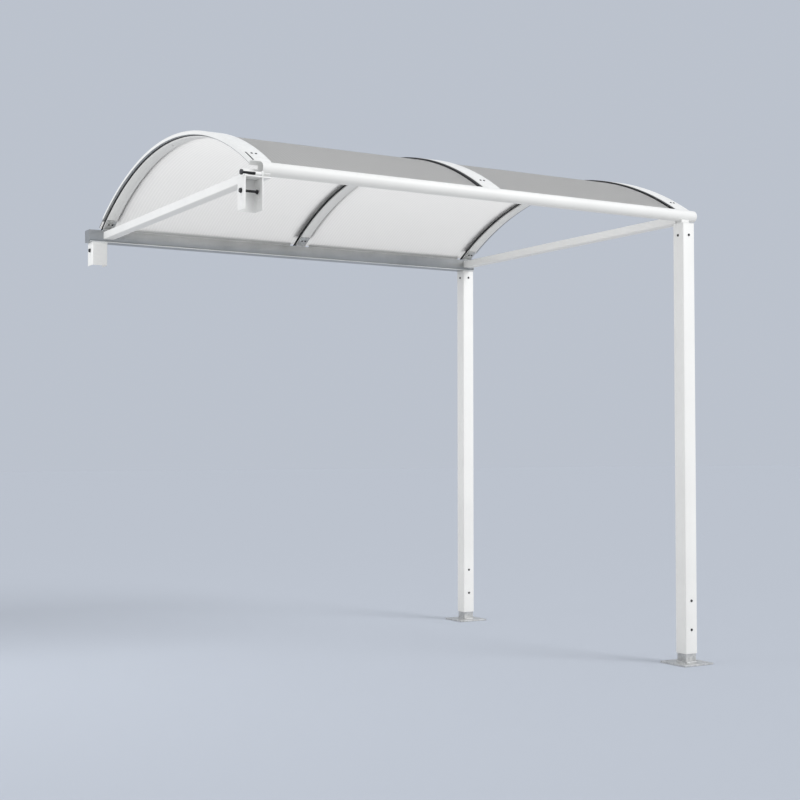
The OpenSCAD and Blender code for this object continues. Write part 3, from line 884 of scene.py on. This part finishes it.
raised = 5 * mm
raised_w = 17 * mm
raised_reach = 6 * mm
for side in ("left", "middle", "right"):
    low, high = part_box(side + "_upper_seal")
    strap_low, strap_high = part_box(side + "_strap")
    base, top = inner_r["top_seal"], outer_r["top_seal"]
    crest = top + raised
    right_x = min(high.x, strap_high.x - 2 * mm)
    outline = [(right_x, base), (right_x, top)]
    if low.x < strap_low.x:
        left_x = low.x - raised_reach
        outline += [(left_x + raised_w, top), (left_x + raised_w, crest), (left_x, crest), (left_x, base)]
    else:
        outline += [(low.x, top), (low.x, base)]
    seal = cope(rolled(side + "_strap_seal", outline, cope_y, high.y), end_cope[side])
    soften(seal, 1 * mm, segments=3)
    finished(seal, rubber, "seal_rubber", side + "_upper_seal")

# ---------------------------------------------------------------------------------------
# Straps: white coated aluminium bars over the seals, screwed down through the sheets to
# the ribs. The end straps have a round nose that turns down over the sheet's edge, with a
# fine joint line beside it, and a mill-finished leg that hooks back under the sheet.

strap_lip = 3 * mm
strap_nose = 9 * mm
nose_steps = 6
joint_inset = 12 * mm
joint_w = 1.2 * mm
joint_strip_w = 7.5 * mm
joint_strip_end = 88 * mm
joint_strip_lift = 0.4 * mm
hook_reach = 13 * mm

for side, inward in (("left", 1), ("middle", 0), ("right", -1)):
    low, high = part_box(side + "_strap")
    base, top = inner_r["strap"], outer_r["strap"]
    if inward:
        edge, inner = (low.x, high.x) if inward > 0 else (high.x, low.x)
        joint = edge + inward * joint_inset
        outline = [(inner, base), (inner, top), (joint + inward * joint_w, top),
                   (joint + inward * joint_w, top - joint_w), (joint, top - joint_w), (joint, top)]
        for i in range(nose_steps + 1):
            turn = math.radians(90) * i / nose_steps
            outline.append((edge + inward * strap_nose * (1 - math.sin(turn)),
                            top - strap_nose * (1 - math.cos(turn))))
        lip_r = inner_r["sheet"]
        outline += [(edge, lip_r), (edge + inward * strap_lip, lip_r), (edge + inward * strap_lip, base)]
        hook_top, hook_base = lip_r - 0.05 * mm, inner_r["low_seal"] + 0.2 * mm
        hook = rolled(side + "_edge_hook", [(edge, hook_base), (edge + inward * hook_reach, hook_base),
                                            (edge + inward * hook_reach, hook_top), (edge, hook_top)],
                      cope_y, high.y)
        cope(hook, end_cope[side])
        soften(hook, 0.4 * mm)
        finished(hook, mill, "strap_aluminium")
    else:
        outline = [(low.x, base), (high.x, base), (high.x, top), (low.x, top)]
    strap = cope(rolled(side + "_strap_bar", outline, cope_y, high.y), end_cope[side])
    soften(strap, 0.5 * mm)
    finished(strap, white, "strap_aluminium", side + "_strap")

# The joint line of the left-hand strap is filled with black rubber at its foot.
low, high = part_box("left_strap")
strip_x = low.x + joint_inset - joint_strip_w / 2
strip_low, strip_high = outer_r["strap"] - joint_w / 2, outer_r["strap"] + joint_strip_lift
strip = rolled("strap_foot_strip",
               [(strip_x, strip_low), (strip_x + joint_strip_w, strip_low),
                (strip_x + joint_strip_w, strip_high), (strip_x, strip_high)],
               cope_y, joint_strip_end)
soften(cope(strip, end_cope["left"]), 0.2 * mm)
finished(strip, rubber, "seal_rubber")


def spin_round_tube(piece, steps, angle):
    """Sweeps a piece's flat section round the front tube's axis."""
    edit(piece)
    bpy.ops.mesh.select_all(action="SELECT")
    bpy.ops.mesh.spin(steps=steps, angle=angle, center=(0, 0, tube_z), axis=(1, 0, 0))
    turn_outward()


# The left-hand strap's front end stands clear of the front tube, so a curved white plate
# closes the layers there, from the rib's underside to the strap's top.
slope = -arc_angle(arc_r, 0)
crest_angle = slope + math.asin(stack / (tube_r + seat + nose_t))
nose = fresh("strap_front_closer", bpy.ops.mesh.primitive_plane_add, size=1)
for vertex in nose.data.vertices:
    x = low.x + 0.5 * mm if vertex.co.x < 0 else high.x - 0.5 * mm
    radius = tube_r + seat if vertex.co.y < 0 else tube_r + nose_t
    vertex.co = (x, radius * math.cos(crest_angle), tube_z + radius * math.sin(crest_angle))
spin_round_tube(nose, 16, crest_angle - slope)
soften(nose, 0.6 * mm)
finished(nose, white, "painted_steel")

# ---------------------------------------------------------------------------------------
# Strap and foot screws: dark low-headed screws in pairs, at both ends of each strap, and in
# the feet under the rear ends of the ribs.

pair_step = 21 * mm
small_head = {"radius": 5.5 * mm, "height": 3 * mm, "socket": 2 * mm}
front_pair_y = 80 * mm
rear_post_y = (rear_low.y + rear_high.y) / 2
rear_pair_y = rear_post_y - 118 * mm
foot_pair_y = rear_post_y - 72 * mm
foot_t = 5 * mm
shelf_out = arc_r - seat
shelf_in = shelf_out - foot_t

strap_places, foot_places = [], []
for side in ("left", "middle", "right"):
    low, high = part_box(side + "_rib")
    for dx in (-pair_step / 2, pair_step / 2):
        x = (low.x + high.x) / 2 + dx
        for y in (front_pair_y, rear_pair_y):
            angle = arc_angle(outer_r["strap"], y)
            spot = on_arc(x, outer_r["strap"], angle)
            strap_places.append(standing(spot, spot - on_arc(x, 0, 0)))
        angle = arc_angle(arc_r, foot_pair_y)
        spot = on_arc(x, shelf_in, angle)
        foot_places.append(standing(spot, on_arc(x, 0, 0) - spot))
for name, node, places in (("strap_pan_screws", "strap_screws", strap_places),
                           ("foot_pan_screws", "foot_screws", foot_places)):
    finished(copies(name, button_head(**small_head), places), plated, "screw_steel", node)

# ---------------------------------------------------------------------------------------
# Rib feet: galvanised angles of 5 mm plate under the rear end of each rib, whose lower
# leg stands on the inside of the gutter's front wall.

feet = []
leg_low, leg_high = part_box("rib_feet")
for side in ("left", "middle", "right"):
    low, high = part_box(side + "_rib")
    outline = [(low.x, shelf_in), (high.x, shelf_in), (high.x, shelf_out), (low.x, shelf_out)]
    shelf = rolled("shelf", outline, leg_low.y, leg_high.y)
    leg_top = arc_z + (shelf_out - foot_t / 2) * math.cos(arc_angle(arc_r, leg_high.y))
    leg = block("leg", (low.x, leg_high.y - foot_t, leg_low.z), (high.x, leg_high.y, leg_top))
    modify(shelf, "BOOLEAN", object=leg, operation="UNION", solver="EXACT")
    bpy.data.objects.remove(leg)
    feet.append(soften(shelf, 0.8 * mm))
finished(join("rib_foot_angles", feet), galvanised, "galvanised_steel", "rib_feet")

# ---------------------------------------------------------------------------------------
# Brackets: folded white plates that stand open like a U round the heads of the next bay's
# posts, each under a welded top plate, with a bolt hole and two pin holes through both legs.

bracket_wall = 4 * mm
bracket_plate_t = 6 * mm
fold = 6 * mm
bolt_z = top_z
bolt_hole = 6.5 * mm
pin_hole = 3.5 * mm
pin_drops = (22 * mm, 38 * mm)


def drill(radius, x0, x1, y, z):
    """A cutter along X that runs past both places."""
    return round_bar("drill", radius, (x0 - over, y, z), (x1 + over, y, z), sides=28)


for end, web in (("front", 1), ("rear", -1)):
    low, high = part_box(end + "_bracket")
    post_y = 0 if end == "front" else rear_post_y
    bracket = block(end + "_folded_bracket", low, high)
    edit(bracket)
    pick(bracket, lambda face: abs(face.normal.z) > 0.9 or face.normal.y * web < -0.9)
    bpy.ops.mesh.delete(type="FACE")
    bpy.ops.mesh.select_mode(type="EDGE")
    back_y = high.y if web > 0 else low.y
    pick_edges(bracket, lambda a, b: abs(a.z - b.z) > 1e-6 and abs(a.y - back_y) < 1e-6)
    bpy.ops.mesh.bevel(offset=fold, segments=6, affect="EDGES")
    done()
    modify(bracket, "SOLIDIFY", thickness=bracket_wall, offset=-1, use_even_offset=True)
    holes = [(bolt_hole, bolt_z)] + [(pin_hole, bolt_z - drop) for drop in pin_drops]
    cut(bracket, *[drill(radius, low.x, high.x, post_y, z) for radius, z in holes])
    soften(bracket, 0.6 * mm, angle=50)
    finished(bracket, white, "painted_steel", end + "_bracket")

plate_low, plate_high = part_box("bracket_plates")
front_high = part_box("front_bracket")[1]
rear_bracket_low, rear_bracket_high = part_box("rear_bracket")
plates = []
for low, high in (((plate_low.x, plate_low.y, front_high.z), (plate_high.x, front_high.y, plate_high.z)),
                  ((rear_bracket_low.x, rear_bracket_low.y, rear_bracket_high.z),
                   (rear_bracket_high.x, plate_high.y, rear_bracket_high.z + bracket_plate_t))):
    plates.append(soften(block("plate", low, high), 1 * mm))
finished(join("bracket_top_plates", plates), white, "painted_steel", "bracket_plates")

# ---------------------------------------------------------------------------------------
# Tube saddle and coupling lug: a curved white shell behind and under the front tube's open
# end, which the next bay's tube lies in, and an upright lug with the hole of the bolt
# that couples the two bays.

saddle = fresh("tube_saddle_shell", bpy.ops.mesh.primitive_plane_add, size=1)
saddle_in = tube_r + seat
for vertex in saddle.data.vertices:
    x = saddle_low.x if vertex.co.x < 0 else saddle_high.x
    vertex.co = (x, saddle_in if vertex.co.y < 0 else saddle_out, tube_z)
spin_round_tube(saddle, 36, math.radians(135))
soften(saddle, 0.8 * mm)
finished(saddle, white, "painted_steel", "tube_saddle")

lug_low, lug_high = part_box("coupling_lug")
lug_hole_y = -30 * mm
lug_hole_z = lug_low.z + 11 * mm
lug_hole = 6.5 * mm
lug = block("coupling_lug_plate", lug_low, lug_high)
cut(lug, drill(lug_hole, lug_low.x, lug_high.x, lug_hole_y, lug_hole_z),
    tube_bore(saddle_out + seat, lug_low.x, lug_high.x))
soften(lug, 0.6 * mm)
finished(lug, white, "painted_steel", "coupling_lug")

# ---------------------------------------------------------------------------------------
# Joining bolts: dark M12 hexagon bolts with washers, one with a nut through the legs of each
# bracket, and one from the left through a white bush and the coupling lug.

bolt_r = 5.9 * mm
thread_pitch = 1.75 * mm
across_flats = 18 * mm
nut_t = 9 * mm
nut_inset = 12 * mm
washer_t = 2 * mm
bracket_head_t = 7 * mm
coupling_start = cad_box[0].x + 11 * mm
coupling_head_t = 8 * mm
coupling_across = 22 * mm
tip_past = 2 * mm
bush_r = 9 * mm
bush_length = 30 * mm


def hexagon(name, across, start, end):
    """A hexagon head or nut with chamfered corners."""
    body = round_bar(name, across / 2 / math.cos(math.radians(30)), start, end, sides=6)
    return soften(body, 0.8 * mm, segments=2, angle=50)


def washer(start, end, radius=12 * mm):
    disc = round_bar("washer", radius, start, end, sides=32)
    return soften(disc, 0.4 * mm, angle=50)


def thread(start, end):
    """A threaded shank as a row of chamfered turns."""
    start, end = Vector(start), Vector(end)
    along = end - start
    turns = round(along.length / thread_pitch)
    step_vector = along / turns
    turn = round_bar("thread", bolt_r, start, start + step_vector, sides=16)
    modify(turn, "BEVEL", width=0.6 * mm, segments=1, limit_method="ANGLE", angle_limit=math.radians(50))
    modify(turn, "ARRAY", use_relative_offset=False, use_constant_offset=True,
           constant_offset_displace=step_vector, count=turns)
    bpy.ops.object.shade_smooth_by_angle(angle=math.radians(30))
    return turn


def bolt(name, start, end, head_t, nut_at=None, head_across=across_flats):
    """A bolt along X from its head's underside at start to its tip at end."""
    start, end = Vector(start), Vector(end)
    way = (end - start).normalized()
    parts = [thread(start, end),
             washer(start - way * washer_t, start),
             hexagon("head", head_across, start - way * (head_t + washer_t), start - way * washer_t)]
    if nut_at is not None:
        nut = Vector((nut_at, start.y, start.z))
        parts.append(hexagon("nut", across_flats, nut, nut + way * nut_t))
    return finished(join(name, parts), plated, "screw_steel")


for end in ("front", "rear"):
    low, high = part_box(end + "_bracket")
    post_y = 0 if end == "front" else rear_post_y
    leg_in = high.x - bracket_wall
    bolt(end + "_bracket_bolt", (low.x, post_y, bolt_z), (leg_in - 1 * mm, post_y, bolt_z),
         bracket_head_t, nut_at=leg_in - nut_inset)
bolt("coupling_bolt", (coupling_start, lug_hole_y, lug_hole_z),
     (lug_high.x + tip_past, lug_hole_y, lug_hole_z), coupling_head_t, head_across=coupling_across)

# A white bush on the lug's left-hand side carries the end of the coupling bolt.
bush_start = lug_low.x - bush_length
bush = round_bar("coupling_bush", bush_r, (bush_start, lug_hole_y, lug_hole_z),
                 (lug_low.x, lug_hole_y, lug_hole_z), sides=40)
cut(bush, drill(bolt_r + seat, bush_start, lug_low.x, lug_hole_y, lug_hole_z))
soften(bush, 0.6 * mm, angle=50)
finished(bush, white, "painted_steel")
